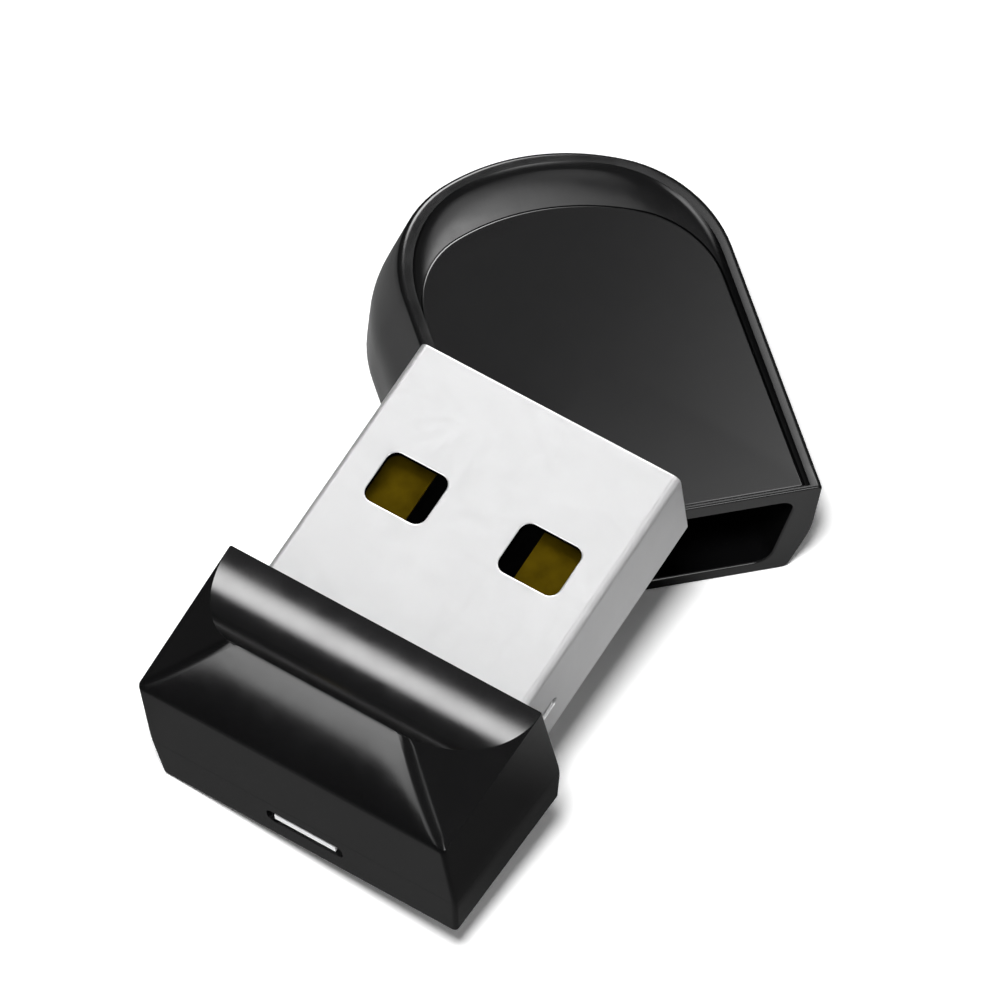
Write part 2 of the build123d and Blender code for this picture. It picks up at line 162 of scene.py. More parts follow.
# Cards on the floor, seen by the gloss: middle in millimetres, outer and inner radius, grey
FLOOR_CARDS = (
    ((0, 0, 0), 4000, 0, 0.05),
    ((-18.5, -18, 0), 12, 6, 0.07),
    ((6.5, -15, 0), 11, 4, 0.32),
    ((-10, 2, 0), 12, 4, 0.35),
    ((0, 17, 0), 10, 3, 0.15),
    ((15, 0, 0), 10, 3, 0.2),
)
STEEL_IN_GLOSS = 0.05
SKY_STRENGTH = 0.15
BACKDROP = 1.3
FLOOR_HALF = 0.6


# Places, worked out from the record

plug_mount = next(m for m in frame["record"]["mounts"] if m["name"] == "usb_plug")
plug_dir = Vector(plug_mount["axis"]).normalized()
tilt = math.atan2(plug_dir.z, plug_dir.x)
lift_dir = Vector((-math.sin(tilt), 0, math.cos(tilt)))
across_dir = plug_dir.cross(lift_dir)
rear_foot = Vector(plug_mount["pos_m"]) - (plug_dir * PLUG_TIP + lift_dir * PLUG_LEVEL) * MM
drive_axes = Matrix((across_dir, plug_dir, lift_dir)).transposed().to_4x4()
DRIVE = Matrix.Translation(rear_foot) @ drive_axes @ Matrix.Scale(MM, 4)
CAP = Matrix.Scale(MM, 4)


# Mesh helpers

def mix(a, b, share):
    """Value between a and b."""
    return a + (b - a) * share


def waisted(values, middle, top, height):
    """Value at a height on two straight slopes, from 0 to the middle to the top, eased where they meet."""
    low, mid, high = values
    lower_slope = (mid - low) / middle
    upper_slope = (high - mid) / (top - middle)
    above = height - middle
    value = mid + above * (lower_slope if above < 0 else upper_slope)
    ease = max(0.0, WAIST_EASE - abs(above)) ** 2 / (4 * WAIST_EASE)
    return value + (upper_slope - lower_slope) * ease


def to_object(name, mesh_data):
    """New object from a bmesh, with its normals outwards."""
    bmesh.ops.recalc_face_normals(mesh_data, faces=mesh_data.faces)
    mesh = bpy.data.meshes.new(name)
    mesh_data.to_mesh(mesh)
    mesh_data.free()
    obj = bpy.data.objects.new(name, mesh)
    bpy.context.scene.collection.objects.link(obj)
    return obj


def bake(obj):
    """Applies the object's modifiers to its mesh."""
    graph = bpy.context.evaluated_depsgraph_get()
    mesh = bpy.data.meshes.new_from_object(obj.evaluated_get(graph))
    obj.modifiers.clear()
    obj.data = mesh


def cut(obj, cutter):
    """Takes the cutter's solid out of the object, and removes the cutter."""
    step = obj.modifiers.new("cut", "BOOLEAN")
    step.operation = "DIFFERENCE"
    step.solver = "EXACT"
    step.object = cutter
    bake(obj)
    bpy.data.objects.remove(cutter)


def bridge(bm, rings, closed=True):
    """Faces between each ring of vertices and the next, also from their last vertices to the first."""
    for below, above in zip(rings, rings[1:]):
        count = len(below)
        for i in range(count if closed else count - 1):
            j = (i + 1) % count
            bm.faces.new((below[i], below[j], above[j], above[i]))


def rounded_rectangle(width, height, radius, steps=8):
    """Points of a rounded rectangle about the origin, counter-clockwise."""
    points = []
    for turn, (sx, sy) in enumerate(((1, 1), (-1, 1), (-1, -1), (1, -1))):
        for step in range(steps + 1):
            angle = math.radians(90 * (turn + step / steps))
            x = sx * (width / 2 - radius) + radius * math.cos(angle)
            y = sy * (height / 2 - radius) + radius * math.sin(angle)
            points.append((x, y))
    return points


def prism(name, points, place, low, high):
    """Solid of an outline, where place(u, v, depth) gives each point's position."""
    bm = bmesh.new()
    rings = [[bm.verts.new(place(u, v, depth)) for u, v in points] for depth in (low, high)]
    bridge(bm, rings)
    bm.faces.new(rings[0])
    bm.faces.new(rings[1])
    return to_object(name, bm)


def soften(obj, width, angle=50, segments=3, where=None):
    """Rounds the sharp edges by where()'s share of the width, all in full if it is left out."""
    bm = bmesh.new()
    bm.from_mesh(obj.data)
    weight = bm.edges.layers.float.new("bevel_weight_edge")
    limit = math.radians(angle)
    for edge in bm.edges:
        sharp = len(edge.link_faces) == 2 and edge.calc_face_angle(0) > limit
        if sharp:
            edge[weight] = 1.0 if where is None else float(where(edge))
    bm.to_mesh(obj.data)
    bm.free()
    step = obj.modifiers.new("edges", "BEVEL")
    step.width = width
    step.segments = segments
    step.limit_method = "WEIGHT"
    step.use_clamp_overlap = False
    step.harden_normals = False
    bake(obj)


def finish_piece(obj, matrix, body, material, node, smooth_angle=35):
    """Places a piece, shades it smooth between its creases, and lets it stand for a node of its body."""
    obj.data.transform(matrix)
    obj.data.materials.clear()
    obj.data.materials.append(material)
    obj.data.shade_smooth()
    obj.data.set_sharp_from_angle(angle=math.radians(smooth_angle))
    normals = obj.modifiers.new("normals", "WEIGHTED_NORMAL")
    normals.keep_sharp = True
    normals.weight = 50
    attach(obj, body)
    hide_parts(node)


# Materials

def new_material(name):
    """Empty node material with a Principled shader, its nodes and links."""
    material = bpy.data.materials.new(name)
    material.use_nodes = True
    nodes = material.node_tree.nodes
    links = material.node_tree.links
    return material, nodes, links, nodes["Principled BSDF"]


def noise(nodes, links, scale, detail=4.0, roughness=0.55, stretch=(1, 1, 1)):
    """Noise in object space; scale counts its features per metre."""
    coordinates = nodes.new("ShaderNodeTexCoord")
    mapping = nodes.new("ShaderNodeMapping")
    mapping.inputs["Scale"].default_value = stretch
    texture = nodes.new("ShaderNodeTexNoise")
    texture.inputs["Scale"].default_value = scale
    texture.inputs["Detail"].default_value = detail
    texture.inputs["Roughness"].default_value = roughness
    links.new(coordinates.outputs["Object"], mapping.inputs["Vector"])
    links.new(mapping.outputs["Vector"], texture.inputs["Vector"])
    return texture.outputs["Fac"]


def ramp(nodes, links, source, stops):
    """Colour ramp over a value; stops are (place, grey or colour)."""
    node = nodes.new("ShaderNodeValToRGB")
    elements = node.color_ramp.elements
    while len(elements) < len(stops):
        elements.new(0.5)
    for element, (place, value) in zip(elements, stops):
        element.position = place
        colour = (value, value, value) if isinstance(value, float) else value
        element.color = (*colour, 1.0)
    links.new(source, node.inputs["Fac"])
    return node.outputs["Color"]


def bump(nodes, links, shader, source, strength, distance):
    """Surface relief from a value, distance in metres; stacks on an earlier one."""
    node = nodes.new("ShaderNodeBump")
    node.inputs["Strength"].default_value = strength
    node.inputs["Distance"].default_value = distance
    links.new(source, node.inputs["Height"])
    before = shader.inputs["Normal"].links
    if before:
        links.new(before[0].from_socket, node.inputs["Normal"])
    links.new(node.outputs["Normal"], shader.inputs["Normal"])


def moulded_plastic(name, colour, gloss, relief=1.0):
    """Glossy moulded plastic: flow mottling, fine haze and hairline scratches, all scaled by relief."""
    material, nodes, links, shader = new_material(name)
    lighter = tuple(c * (1 + 0.3 * relief) for c in colour)
    mottle = noise(nodes, links, 260, detail=3)
    links.new(ramp(nodes, links, mottle, ((0.35, colour), (0.75, lighter))), shader.inputs["Base Color"])
    haze = noise(nodes, links, 900, detail=6)
    rough_stops = ((0.3, gloss * (1 - 0.15 * relief)), (0.7, gloss * (1 + 0.2 * relief)))
    links.new(ramp(nodes, links, haze, rough_stops), shader.inputs["Roughness"])
    bump(nodes, links, shader, noise(nodes, links, 1400, detail=2), 0.04 * relief, 0.00002)
    scratches = noise(nodes, links, 2600, detail=2, stretch=(1, 0.08, 0.3))
    hairlines = ramp(nodes, links, scratches, ((0.62, 0.0), (0.66, 1.0)))
    bump(nodes, links, shader, hairlines, 0.02 * relief, 0.00001)
    return material


def plated_steel(name):
    """Satin nickel-plated steel, brushed along the plug, with faint handling marks."""
    material, nodes, links, shader = new_material(name)
    shader.inputs["Metallic"].default_value = 0.72
    cloud = noise(nodes, links, 350, detail=4)
    links.new(
        ramp(nodes, links, cloud, ((0.3, (0.82, 0.82, 0.825)), (0.75, (0.85, 0.85, 0.855)))),
        shader.inputs["Base Color"],
    )
    # the gloss of other pieces sees the steel as a dark card
    card = nodes.new("ShaderNodeBsdfDiffuse")
    card.inputs["Color"].default_value = (STEEL_IN_GLOSS, STEEL_IN_GLOSS, STEEL_IN_GLOSS, 1.0)
    rays = nodes.new("ShaderNodeLightPath")
    choice = nodes.new("ShaderNodeMixShader")
    links.new(rays.outputs["Is Glossy Ray"], choice.inputs["Fac"])
    links.new(shader.outputs["BSDF"], choice.inputs[1])
    links.new(card.outputs["BSDF"], choice.inputs[2])
    links.new(choice.outputs["Shader"], nodes["Material Output"].inputs["Surface"])
    grain = noise(nodes, links, 3000, detail=5, stretch=(1, 1, 0.3))
    links.new(ramp(nodes, links, grain, ((0.3, 0.34), (0.75, 0.44))), shader.inputs["Roughness"])
    bump(nodes, links, shader, grain, 0.05, 0.00002)
    return material


def gold_plate(name, colour):
    """Thin dull gold over copper, darker where it has tarnished."""
    material, nodes, links, shader = new_material(name)
    shader.inputs["Metallic"].default_value = 0.85
    shader.inputs["Specular IOR Level"].default_value = 0.0
    tarnish = noise(nodes, links, 700, detail=5)
    darker = tuple(c * 0.55 for c in colour)
    links.new(ramp(nodes, links, tarnish, ((0.35, darker), (0.7, colour))), shader.inputs["Base Color"])
    links.new(ramp(nodes, links, tarnish, ((0.3, 0.35), (0.7, 0.55))), shader.inputs["Roughness"])
    bump(nodes, links, shader, noise(nodes, links, 2500), 0.1, 0.00002)
    return material


def matt_part(name, colour, roughness, specular=0.5):
    """Dull moulded or fired surface with a fine grain."""
    material, nodes, links, shader = new_material(name)
    grain = noise(nodes, links, 2400, detail=6)
    lighter = tuple(c * 1.8 for c in colour)
    links.new(ramp(nodes, links, grain, ((0.35, colour), (0.7, lighter))), shader.inputs["Base Color"])
    shader.inputs["Roughness"].default_value = roughness
    shader.inputs["Specular IOR Level"].default_value = specular
    bump(nodes, links, shader, grain, 0.2, 0.00003)
    return material


def frosted_guide(name):
    """Milky clear plastic of the light guide."""
    material, nodes, links, shader = new_material(name)
    cloud = noise(nodes, links, 1200, detail=3)
    links.new(
        ramp(nodes, links, cloud, ((0.3, (0.9, 0.91, 0.92)), (0.7, (0.97, 0.97, 0.98)))),
        shader.inputs["Base Color"],
    )
    shader.inputs["Roughness"].default_value = 0.28
    bump(nodes, links, shader, cloud, 0.05, 0.00002)
    return material


body_black = moulded_plastic("body_gloss_black", (0.002, 0.002, 0.0022), 0.17)
cap_black = moulded_plastic("cap_gloss_black", (0.0025, 0.0025, 0.0027), 0.2)
panel_black = moulded_plastic("panel_satin_black", (0.003, 0.003, 0.0032), 0.15, relief=0.15)
# near-black, unglossy colour for the latch windows' cut walls: painted shade, standing in for the shade
# that falls inside the windows
window_wall_painted_shade = matt_part("painted_shade_window_walls", (0.0005, 0.0005, 0.0005), 0.7, specular=0.0)
steel = plated_steel("nickel_plated_steel")
# gold of the strips seen through the latch windows: its hue and random tarnish are the metal's own, and
# its colour is darkened far below real gold as painted shade for the shade inside the plug shell
gold = gold_plate("gold_darkened_painted_shade", (0.1, 0.066, 0.002))
contact_gold = gold_plate("contact_gold", (0.80, 0.56, 0.18))


# Drive body

def side_half(height, rear):
    """Half width of the block at this height, at its rear or front face."""
    values = REAR_HALF_WIDTHS if rear else FRONT_HALF_WIDTHS
    return waisted(values, WAIST_HEIGHT, BODY_HEIGHT, height)


def block_rings(bm, low, high):
    """Rings of the block's four corners from one height to another, with their walls."""
    rings = []
    for step in range(SIDE_LEVELS + 1):
        z = mix(low, high, step / SIDE_LEVELS)
        rear, front = side_half(z, True), side_half(z, False)
        corners = ((-rear, 0), (rear, 0), (front, BODY_DEPTH), (-front, BODY_DEPTH))
        rings.append([bm.verts.new((x, y, z)) for x, y in corners])
    bridge(bm, rings)
    return rings


def hip_half(y, z):
    """Half width of the roof at this place on its profile, where it meets the sloping hip."""
    eave = mix(REAR_HALF_WIDTHS[2], FRONT_HALF_WIDTHS[2], y / BODY_DEPTH)
    return eave - RIDGE_SIDE_INSET * (z - BODY_HEIGHT) / RIDGE_RISE


def scoop_profile():
    """Hollow front slope: an arc from the ridge down to the front edge, level where it ends."""
    run = BODY_DEPTH - RIDGE_BACK
    radius = (run**2 + RIDGE_RISE**2) / (2 * RIDGE_RISE)
    top_angle = math.asin(run / radius)
    points = []
    for step in range(SCOOP_STEPS + 1):
        angle = top_angle * (1 - step / SCOOP_STEPS)
        y = BODY_DEPTH - radius * math.sin(angle)
        z = BODY_HEIGHT + radius * (1 - math.cos(angle))
        points.append((y, z))
    return points


def roof_point(across, share):
    """Point of the rear facet, from the eave up to the ridge, swollen a little in its middle."""
    swell = 4 * ROOF_CROWN * share * (1 - share) * (1 - across**8)
    slope = math.atan2(RIDGE_RISE, RIDGE_BACK)
    y = RIDGE_BACK * share
    z = BODY_HEIGHT + RIDGE_RISE * share
    return across * hip_half(y, z), y - swell * math.sin(slope), z + swell * math.cos(slope)


def housing_upper_mesh():
    """Upper half: the block above the seam under its hipped roof."""
    bm = bmesh.new()
    rings = block_rings(bm, WAIST_HEIGHT + HOUSING_SEAM, BODY_HEIGHT)
    bm.faces.new(rings[0])
    rear_left, rear_right, front_right, front_left = rings[-1]
    # the block's rear eave gets the same vertices as the facet above it, and they are joined below
    eave, start = bm.edges.get((rear_left, rear_right)), rear_left
    for left in range(ROOF_COLUMNS, 1, -1):
        start = bmesh.utils.edge_split(eave, start, 1 / left)[1]
    columns = [2 * i / ROOF_COLUMNS - 1 for i in range(ROOF_COLUMNS + 1)]
    facet = []
    for step in range(ROOF_STEPS + 1):
        share = step / ROOF_STEPS
        facet.append([bm.verts.new(roof_point(across, share)) for across in columns])
    bridge(bm, facet, closed=False)
    # the scoop, from the ridge down to the front edge, and a hip on each side
    rows = [(facet[-1][0], facet[-1][-1])]
    for y, z in scoop_profile()[1:-1]:
        half = hip_half(y, z)
        rows.append((bm.verts.new((-half, y, z)), bm.verts.new((half, y, z))))
    rows.append((front_left, front_right))
    bm.faces.new([*facet[-1], rows[1][1], rows[1][0]])
    for (left, right), (next_left, next_right) in zip(rows[1:], rows[2:]):
        bm.faces.new((left, right, next_right, next_left))
    for side in (0, -1):
        bm.faces.new([row[side] for row in facet] + [row[side] for row in rows[1:]])
    bmesh.ops.remove_doubles(bm, verts=bm.verts, dist=WELD)
    return to_object("housing_upper_shell", bm)


def housing_lower_mesh():
    """Lower half: the block's foot below the seam."""
    bm = bmesh.new()
    rings = block_rings(bm, 0.0, WAIST_HEIGHT)
    bm.faces.new(rings[0])
    bm.faces.new(rings[-1])
    return to_object("housing_lower_shell", bm)


def across_place(y_offset):
    """Places an outline upright across the piece, with its depth measured on from this y."""
    return lambda u, v, depth: (u, y_offset + depth, v)


def plug_cutter():
    """Opening in the body's front face, a little larger than the plug."""
    points = rounded_rectangle(PLUG_WIDTH + 2 * PLUG_FIT, PLUG_HEIGHT + 2 * PLUG_FIT, PLUG_CORNER)
    points = [(x, z + PLUG_LEVEL) for x, z in points]
    return prism("cutter", points, across_place(BODY_DEPTH), -PLUG_BURIED, CLEAR)


def off_seam(edge):
    """True for an edge that doesn't lie on the seam between the body's halves."""
    return not all(abs(v.co.z - WAIST_HEIGHT) < 2 * HOUSING_SEAM for v in edge.verts)


def roof_rounding(edge):
    """Share of the hips' rounding that an edge of the upper half takes."""
    middle = (edge.verts[0].co + edge.verts[1].co) / 2
    if not off_seam(edge):
        return 0.0
    if middle.z < BODY_HEIGHT - WELD:
        width = CORNER_ROUND if middle.y < BODY_DEPTH / 2 else FRONT_ROUND
        return width / HIP_ROUND
    if middle.z < BODY_HEIGHT + WELD:
        return CORNER_ROUND / HIP_ROUND if middle.y < WELD else 0.0
    if middle.y < RIDGE_BACK - WELD:
        return 1.0
    return RIDGE_ROUND / HIP_ROUND if middle.y < RIDGE_BACK + WELD else 0.0


def foot_rounding(edge):
    """Share of the corners' rounding that an edge of the lower half takes."""
    if not off_seam(edge):
        return 0.0
    upright = abs(edge.verts[0].co.z - edge.verts[1].co.z) > WELD
    front = edge.verts[0].co.y > BODY_DEPTH / 2
    return FRONT_ROUND / CORNER_ROUND if upright and front else 1.0


upper = housing_upper_mesh()
soften(upper, HIP_ROUND, angle=20, segments=ROUND_SEGMENTS, where=roof_rounding)
cut(upper, plug_cutter())
finish_piece(upper, DRIVE, "drive", body_black, "housing_upper")

lower = housing_lower_mesh()
soften(lower, CORNER_ROUND, segments=ROUND_SEGMENTS, where=foot_rounding)
cut(lower, plug_cutter())
for (width, height, depth), corner in ((SLOT, SLOT_CORNER), (GUIDE_HOLE, GUIDE_HOLE_CORNER)):
    opening = [(x, z + SLOT_LEVEL) for x, z in rounded_rectangle(width, height, corner)]
    cut(lower, prism("cutter", opening, across_place(0), -CLEAR, depth))
finish_piece(lower, DRIVE, "drive", body_black, "housing_lower")


# Plug shell

def plug_shell_mesh():
    """Tube of thin sheet, open at both ends."""
    outer = rounded_rectangle(PLUG_WIDTH, PLUG_HEIGHT, PLUG_CORNER)
    inner_size = (PLUG_WIDTH - 2 * PLUG_SHEET, PLUG_HEIGHT - 2 * PLUG_SHEET)
    inner = rounded_rectangle(*inner_size, PLUG_CORNER - PLUG_SHEET)
    bm = bmesh.new()
    rings = []
    for points, y in ((outer, PLUG_REAR), (outer, PLUG_TIP), (inner, PLUG_TIP), (inner, PLUG_REAR)):
        rings.append([bm.verts.new((x, y, z + PLUG_LEVEL)) for x, z in points])
    bridge(bm, rings + rings[:1])
    return to_object("plug_shell_tube", bm)


def flat_place(u, v, depth):
    """Places outline points on the plug's plan."""
    return (u, v, depth)


def side_place(u, v, depth):
    """Places outline points on the plug's side."""
    return (depth, v, u)


def in_window_wall(face):
    """True for the thin walls that the latch windows leave in the sheet."""
    x, y, _ = face.center
    near_x = abs(abs(x) - WINDOW_X) < WINDOW[0] / 2 + NEAR
    near_y = abs(y - WINDOW_Y) < WINDOW[1] / 2 + NEAR
    upright = abs(face.normal.z) < 0.3
    return near_x and near_y and upright


shell = plug_shell_mesh()
for side in (-1, 1):
    window = rounded_rectangle(*WINDOW, WINDOW_CORNER)
    window = [(x + side * WINDOW_X, y + WINDOW_Y) for x, y in window]
    reach = PLUG_HEIGHT / 2 + CLEAR
    cut(shell, prism("cutter", window, flat_place, PLUG_LEVEL - reach, PLUG_LEVEL + reach))
    tab = rounded_rectangle(*TAB_SLOT, TAB_SLOT[0] / 2 - NEAR)
    tab = [(z + TAB_LEVEL, y + BODY_DEPTH) for z, y in tab]
    depths = sorted((side * (PLUG_WIDTH / 2 + CLEAR), side * (PLUG_WIDTH / 2 - TAB_DEPTH)))
    cut(shell, prism("cutter", tab, side_place, *depths))
seam_line = rounded_rectangle(BUTT_SEAM, PLUG_TIP - PLUG_REAR + 2 * CLEAR, BUTT_SEAM / 4, steps=2)
seam_line = [(x, y + (PLUG_TIP + PLUG_REAR) / 2) for x, y in seam_line]
seam_low = PLUG_LEVEL - PLUG_HEIGHT / 2
cut(shell, prism("cutter", seam_line, flat_place, seam_low - CLEAR, seam_low + 2 * PLUG_SHEET))
soften(shell, SHEET_ROUND, angle=60)
window_walls = [face.index for face in shell.data.polygons if in_window_wall(face)]
finish_piece(shell, DRIVE, "drive", steel, "plug_shell")
# the windows' cut walls take the near-black material, painted shade where the steel lies in shade
shell.data.materials.append(window_wall_painted_shade)
for index in window_walls:
    shell.data.polygons[index].material_index = 1


# Cap

def cap_ring(half_width, length, arcs, near=0.0):
    """Plan of the cap at one level, from the mouth's right corner round the nose to its left one."""
    nose_radius, corner_radius = arcs
    nose_middle = length - nose_radius
    corner_x = half_width - corner_radius
    gap = nose_radius - corner_radius
    corner_y = nose_middle + math.sqrt(gap**2 - corner_x**2)
    meet_angle = math.atan2(corner_y - nose_middle, corner_x)
    side_steps, corner_steps, nose_steps = PLAN_STEPS
    right = []
    for step in range(side_steps):
        right.append((half_width, mix(near, corner_y, step / side_steps)))
    for step in range(corner_steps):
        angle = meet_angle * step / corner_steps
        x, y = corner_radius * math.cos(angle), corner_radius * math.sin(angle)
        right.append((corner_x + x, corner_y + y))
    for step in range(nose_steps):
        angle = mix(meet_angle, math.pi / 2, step / nose_steps)
        right.append((nose_radius * math.cos(angle), nose_middle + nose_radius * math.sin(angle)))
    left = [(-x, y) for x, y in reversed(right)]
    return right + [(0.0, length)] + left


def panel_depth(y):
    """Depth of the panel's surface below the rim, this far from the mouth."""
    reach = CAP_LENGTHS[2] - PANEL_NOSE_INSET
    share = max(0.0, min(1.0, (y - PANEL_NEAR_INSET) / (reach - PANEL_NEAR_INSET)))
    return mix(PANEL_NEAR_DEPTH, PANEL_NOSE_DEPTH, share)


def panel_fall(x, y):
    """How far the inlay's face drops at a point, towards its corner at the right of the mouth."""
    half = CAP_HALF_WIDTHS[2] - PANEL_SIDE_INSET
    middle = (CAP_LENGTHS[2] - PANEL_NOSE_INSET) / 2
    share = (x / half - (y - middle) / middle + FALL_REACH) / (2 + FALL_REACH)
    return PANEL_FALL * max(0.0, share) ** 2


def cap_levels():
    """Rings from the cap's underside up its wall and over its shoulder."""
    levels = []

    def wall(height, inset):
        half = waisted(CAP_HALF_WIDTHS, CAP_WAIST, CAP_HEIGHT, height) - inset
        length = waisted(CAP_LENGTHS, CAP_WAIST, CAP_HEIGHT, height) - inset
        points = cap_ring(half, length, CAP_ARCS)
        levels.append([(x, y, height) for x, y in points])

    for step in range(FOOT_STEPS + 1):
        angle = math.radians(90 * step / FOOT_STEPS)
        wall(FLOOR_ROUND * (1 - math.cos(angle)), FLOOR_ROUND * (1 - math.sin(angle)))
    for step in range(1, WALL_STEPS):
        wall(mix(FLOOR_ROUND, CAP_HEIGHT - SHOULDER_ROUND, step / WALL_STEPS), 0)
    for step in range(SHOULDER_STEPS + 1):
        angle = math.radians(90 * step / SHOULDER_STEPS)
        height = CAP_HEIGHT - SHOULDER_ROUND * (1 - math.sin(angle))
        wall(height, SHOULDER_ROUND * (1 - math.cos(angle)))
    return levels


def dish_levels():
    """Rings from the rim's inner edge down the hollow wall of the dish, and on to the inlay's bed."""
    top_half, top_length = CAP_HALF_WIDTHS[2], CAP_LENGTHS[2]
    levels = []
    for step in range(COVE_STEPS + 1):
        out = 1 - step / COVE_STEPS
        half = top_half - mix(PANEL_SIDE_INSET, RIM_INSET, out)
        length = top_length - mix(PANEL_NOSE_INSET, RIM_INSET, out)
        arcs = (mix(PANEL_ARCS[0], CAP_ARCS[0], out), mix(PANEL_ARCS[1], CAP_ARCS[1], out))
        near = mix(PANEL_NEAR_INSET, PANEL_NEAR_INSET / 2, out)
        rise = mix(1 - math.sqrt(1 - out**2), out, COVE_FOOT)
        ring = cap_ring(half, length, arcs, near)
        levels.append([(x, y, CAP_HEIGHT - panel_depth(y) * (1 - rise)) for x, y in ring])
    levels.append([(x, y, z - PANEL_THICKNESS) for x, y, z in levels[-1]])
    return levels


def cap_shell_mesh():
    """Closed cap: wall, rim and dish, with a flat mouth face that the socket is cut into."""
    bm = bmesh.new()
    walls = [[bm.verts.new((x, y + CAP_MOUTH_Y, z)) for x, y, z in ring] for ring in cap_levels()]
    dish = [[bm.verts.new((x, y + CAP_MOUTH_Y, z)) for x, y, z in ring] for ring in dish_levels()]
    bridge(bm, walls, closed=False)
    bridge(bm, walls[-1:] + dish)
    bm.faces.new(walls[0])
    bm.faces.new(dish[-1])
    bm.faces.new([ring[0] for ring in walls] + [ring[-1] for ring in reversed(walls)])
    return to_object("cap_shell_body", bm)


def at_mouth(edge):
    """True for an edge that lies on the cap's mouth face."""
    return all(abs(v.co.y - CAP_MOUTH_Y) < NEAR for v in edge.verts)


cap = cap_shell_mesh()
socket_points = rounded_rectangle(SOCKET[0], SOCKET[1], SOCKET_CORNER)
socket_points = [(x, z + SOCKET_FLOOR + SOCKET[1] / 2) for x, z in socket_points]
cut(cap, prism("cutter", socket_points, across_place(CAP_MOUTH_Y), -CLEAR, SOCKET[2]))
soften(cap, MOUTH_ROUND, angle=40, where=at_mouth)
finish_piece(cap, CAP, "cap", cap_black, "cap_shell", smooth_angle=32)


def cap_panel_mesh():
    """Thin D-shaped inlay in the dish, its top edge broken and its face falling to one corner."""
    half = CAP_HALF_WIDTHS[2] - PANEL_SIDE_INSET
    length = CAP_LENGTHS[2] - PANEL_NOSE_INSET
    near = PANEL_NEAR_INSET + PANEL_GAP
    middle = (near + length - PANEL_GAP) / 2
    plan = cap_ring(half - PANEL_GAP, length - PANEL_GAP, PANEL_ARCS, near)
    bm = bmesh.new()
    rings = []
    levels = [(0.0, PANEL_THICKNESS), *PANEL_EDGE]
    levels += [(half * step / PANEL_RINGS, 0.0) for step in range(1, PANEL_RINGS)]
    for inset, drop in levels:
        share = 1 - inset / (half - PANEL_GAP)
        ring = []
        for plan_x, plan_y in plan:
            x, y = plan_x * share, mix(middle, plan_y, share)
            z = CAP_HEIGHT - panel_depth(y) - drop - panel_fall(x, y)
            ring.append(bm.verts.new((x, y + CAP_MOUTH_Y, z)))
        rings.append(ring)
    bridge(bm, rings)
    bm.faces.new(rings[0])
    bm.faces.new(rings[-1])
    return to_object("cap_panel_inlay", bm)


finish_piece(cap_panel_mesh(), CAP, "cap", panel_black, "cap_panel")


# Inner parts keep their CAD solids and take finished materials

inner_materials = {
    "board_carrier": matt_part("carrier_black", (0.01, 0.01, 0.01), 0.6),
    "circuit_board": matt_part("board_black", (0.0005, 0.0005, 0.0005), 0.6, specular=0.0),
    "ground_strip_left": gold,
    "ground_strip_right": gold,
    "contact_vbus": contact_gold,
    "contact_data_minus": contact_gold,
    "contact_data_plus": contact_gold,
    "contact_ground": contact_gold,
    "memory_chip": matt_part("memory_epoxy", (0.02, 0.02, 0.022), 0.5),
    "controller_chip": matt_part("controller_epoxy", (0.018, 0.018, 0.02), 0.5),
    "crystal": plated_steel("crystal_can"),
    "capacitors": matt_part("capacitor_ceramic", (0.42, 0.29, 0.18), 0.5),
    "resistors": matt_part("resistor_black", (0.02, 0.02, 0.02), 0.4),
    "status_led": frosted_guide("led_lens"),
    "light_guide": frosted_guide("guide_milky"),
}
for node, material in inner_materials.items():
    for slot in frame["nodes"][node].material_slots:
        slot.material = material


# Floor, lights and camera

def add_glow(nodes, links, total, value, outer, inner, brightness):
    """Adds to a running total a patch that fades from its inner bound to nothing at its outer one."""
    fade = nodes.new("ShaderNodeMapRange")
    fade.interpolation_type = "SMOOTHSTEP"
    fade.inputs["From Min"].default_value = outer
    fade.inputs["From Max"].default_value = inner
    fade.inputs["To Max"].default_value = brightness
    links.new(value, fade.inputs["Value"])
    if total is None:
        return fade.outputs["Result"]
    both = nodes.new("ShaderNodeMath")
    both.operation = "ADD"
    links.new(total, both.inputs[0])
    links.new(fade.outputs["Result"], both.inputs[1])
    return both.outputs["Value"]


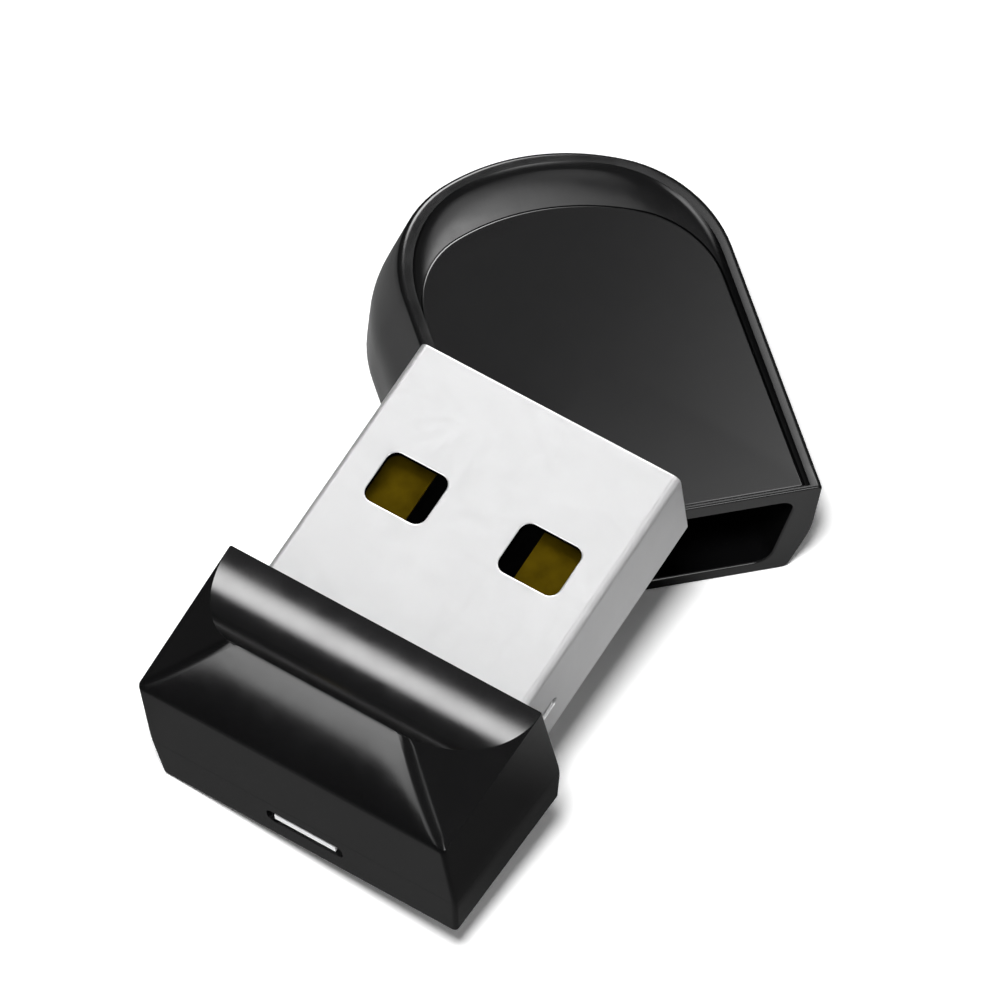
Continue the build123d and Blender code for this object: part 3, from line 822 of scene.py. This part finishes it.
def floor_piece():
    """Plain pale floor under the object."""
    mesh = bpy.data.meshes.new("floor")
    corners = [(x * FLOOR_HALF, y * FLOOR_HALF, 0) for x, y in ((-1, -1), (1, -1), (1, 1), (-1, 1))]
    mesh.from_pydata(corners, [], [(0, 1, 2, 3)])
    obj = bpy.data.objects.new("floor", mesh)
    bpy.context.scene.collection.objects.link(obj)
    material, nodes, links, shader = new_material("floor_white")
    paper = noise(nodes, links, 60, detail=3)
    links.new(ramp(nodes, links, paper, ((0.3, 0.86), (0.7, 0.88))), shader.inputs["Base Color"])
    shader.inputs["Roughness"].default_value = 0.9
    shader.inputs["Specular IOR Level"].default_value = 0.0
    # the picture sees the floor fully lit, and the gloss of the object sees grey cards on it
    backdrop = nodes.new("ShaderNodeBsdfDiffuse")
    backdrop.inputs["Color"].default_value = (BACKDROP, BACKDROP, BACKDROP, 1.0)
    place = nodes.new("ShaderNodeNewGeometry")
    total = None
    for middle, outer, inner, grey in FLOOR_CARDS:
        apart = nodes.new("ShaderNodeVectorMath")
        apart.operation = "DISTANCE"
        apart.inputs[1].default_value = Vector(middle) * MM
        links.new(place.outputs["Position"], apart.inputs[0])
        total = add_glow(nodes, links, total, apart.outputs["Value"], outer * MM, inner * MM, grey)
    card = nodes.new("ShaderNodeBsdfDiffuse")
    links.new(total, card.inputs["Color"])
    rays = nodes.new("ShaderNodeLightPath")
    shader_out = shader.outputs["BSDF"]
    for ray, other in (("Is Glossy Ray", card), ("Is Camera Ray", backdrop)):
        choice = nodes.new("ShaderNodeMixShader")
        links.new(rays.outputs[ray], choice.inputs["Fac"])
        links.new(shader_out, choice.inputs[1])
        links.new(other.outputs["BSDF"], choice.inputs[2])
        shader_out = choice.outputs["Shader"]
    links.new(shader_out, nodes["Material Output"].inputs["Surface"])
    mesh.materials.append(material)


def soft_light(name, direction, distance, side, power):
    """Square light in this direction from what the camera looks at, facing it and unseen by gloss."""
    light = bpy.data.lights.new(name, "AREA")
    light.shape = "SQUARE"
    light.size = side
    light.energy = power
    obj = bpy.data.objects.new(name, light)
    away = Vector(direction).normalized()
    obj.location = TARGET + away * distance
    obj.rotation_euler = away.to_track_quat("Z", "Y").to_euler()
    obj.visible_glossy = False
    bpy.context.scene.collection.objects.link(obj)


def camera_piece():
    """Long-lens camera above the drive's rear left, rolled as the picture is."""
    camera = bpy.data.cameras.new("camera")
    camera.sensor_width = SENSOR
    camera.lens = SENSOR * CAMERA_DISTANCE / FRAME_WIDTH
    camera.clip_start = 0.01
    camera.clip_end = 10
    obj = bpy.data.objects.new("camera", camera)
    level = math.cos(ELEVATION)
    away = Vector((math.sin(AZIMUTH) * level, -math.cos(AZIMUTH) * level, math.sin(ELEVATION)))
    turn = away.to_track_quat("Z", "Y").to_matrix()
    turn = turn @ Matrix.Rotation(ROLL, 3, "Z")
    obj.matrix_world = Matrix.Translation(TARGET + away * CAMERA_DISTANCE) @ turn.to_4x4()
    bpy.context.scene.collection.objects.link(obj)
    bpy.context.scene.camera = obj


def sky():
    """Even pale light for matt surfaces, and soft bright panels for the gloss to reflect."""
    world = bpy.data.worlds.new("studio")
    world.use_nodes = True
    nodes, links = world.node_tree.nodes, world.node_tree.links
    coordinates = nodes.new("ShaderNodeTexCoord")
    total = None
    for direction, wide, narrow, strength in SOFTBOXES:
        along = nodes.new("ShaderNodeVectorMath")
        along.operation = "DOT_PRODUCT"
        along.inputs[1].default_value = Vector(direction).normalized()
        links.new(coordinates.outputs["Generated"], along.inputs[0])
        bounds = (math.cos(math.radians(wide)), math.cos(math.radians(narrow)))
        total = add_glow(nodes, links, total, along.outputs["Value"], *bounds, strength)
    rays = nodes.new("ShaderNodeLightPath")
    choice = nodes.new("ShaderNodeMix")
    choice.inputs["A"].default_value = SKY_STRENGTH
    links.new(rays.outputs["Is Glossy Ray"], choice.inputs["Factor"])
    links.new(total, choice.inputs["B"])
    background = nodes["Background"]
    background.inputs["Color"].default_value = (1.0, 1.0, 1.0, 1.0)
    links.new(choice.outputs["Result"], background.inputs["Strength"])
    bpy.context.scene.world = world


bpy.context.scene.view_settings.view_transform = "Standard"
floor_piece()
sky()
for name, settings in LIGHTS.items():
    soft_light(name, *settings)
camera_piece()
